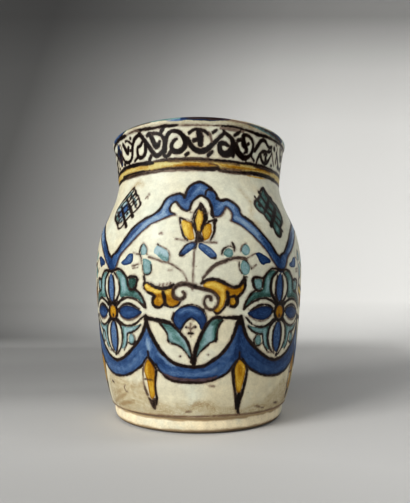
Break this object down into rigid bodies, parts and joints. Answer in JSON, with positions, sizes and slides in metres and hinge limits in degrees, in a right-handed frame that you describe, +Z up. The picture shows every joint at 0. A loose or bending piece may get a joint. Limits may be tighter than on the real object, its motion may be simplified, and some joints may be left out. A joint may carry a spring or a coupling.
{
  "type": "jar",
  "caption": "Barrel-bodied tin-glazed earthenware jar with a turned foot ring, a short flared neck, a rounded lip and painted floral panels under scrollwork.",
  "frame": {"origin": "centre of the foot ring's resting plane", "axes": "+Z up along the axis that the jar was thrown on, -Y towards the viewer of the picture, +X to the viewer's right"},
  "size_m": [0.176, 0.176, 0.23],
  "materials": {
    "bare_clay": "unglazed fired earthenware, buff and slightly dirty",
    "cream_glaze": "glossy off-white tin glaze",
    "painted_glaze": "glossy off-white tin glaze painted in blue, green, yellow and dark brown",
    "ochre_glaze": "glossy ochre-yellow glaze",
    "blue_wash_glaze": "glossy tin glaze under a watery blue wash"
  },
  "bodies": {
    "root": {"foot_ring": "bare_clay", "thrown_body": "bare_clay", "neck_collar": "bare_clay", "foot_glaze": "cream_glaze", "belly_glaze": "painted_glaze", "neck_glaze": "painted_glaze", "lining_glaze": "cream_glaze", "throat_glaze": "ochre_glaze", "lip_glaze": "blue_wash_glaze"}
  },
  "joints": []
}
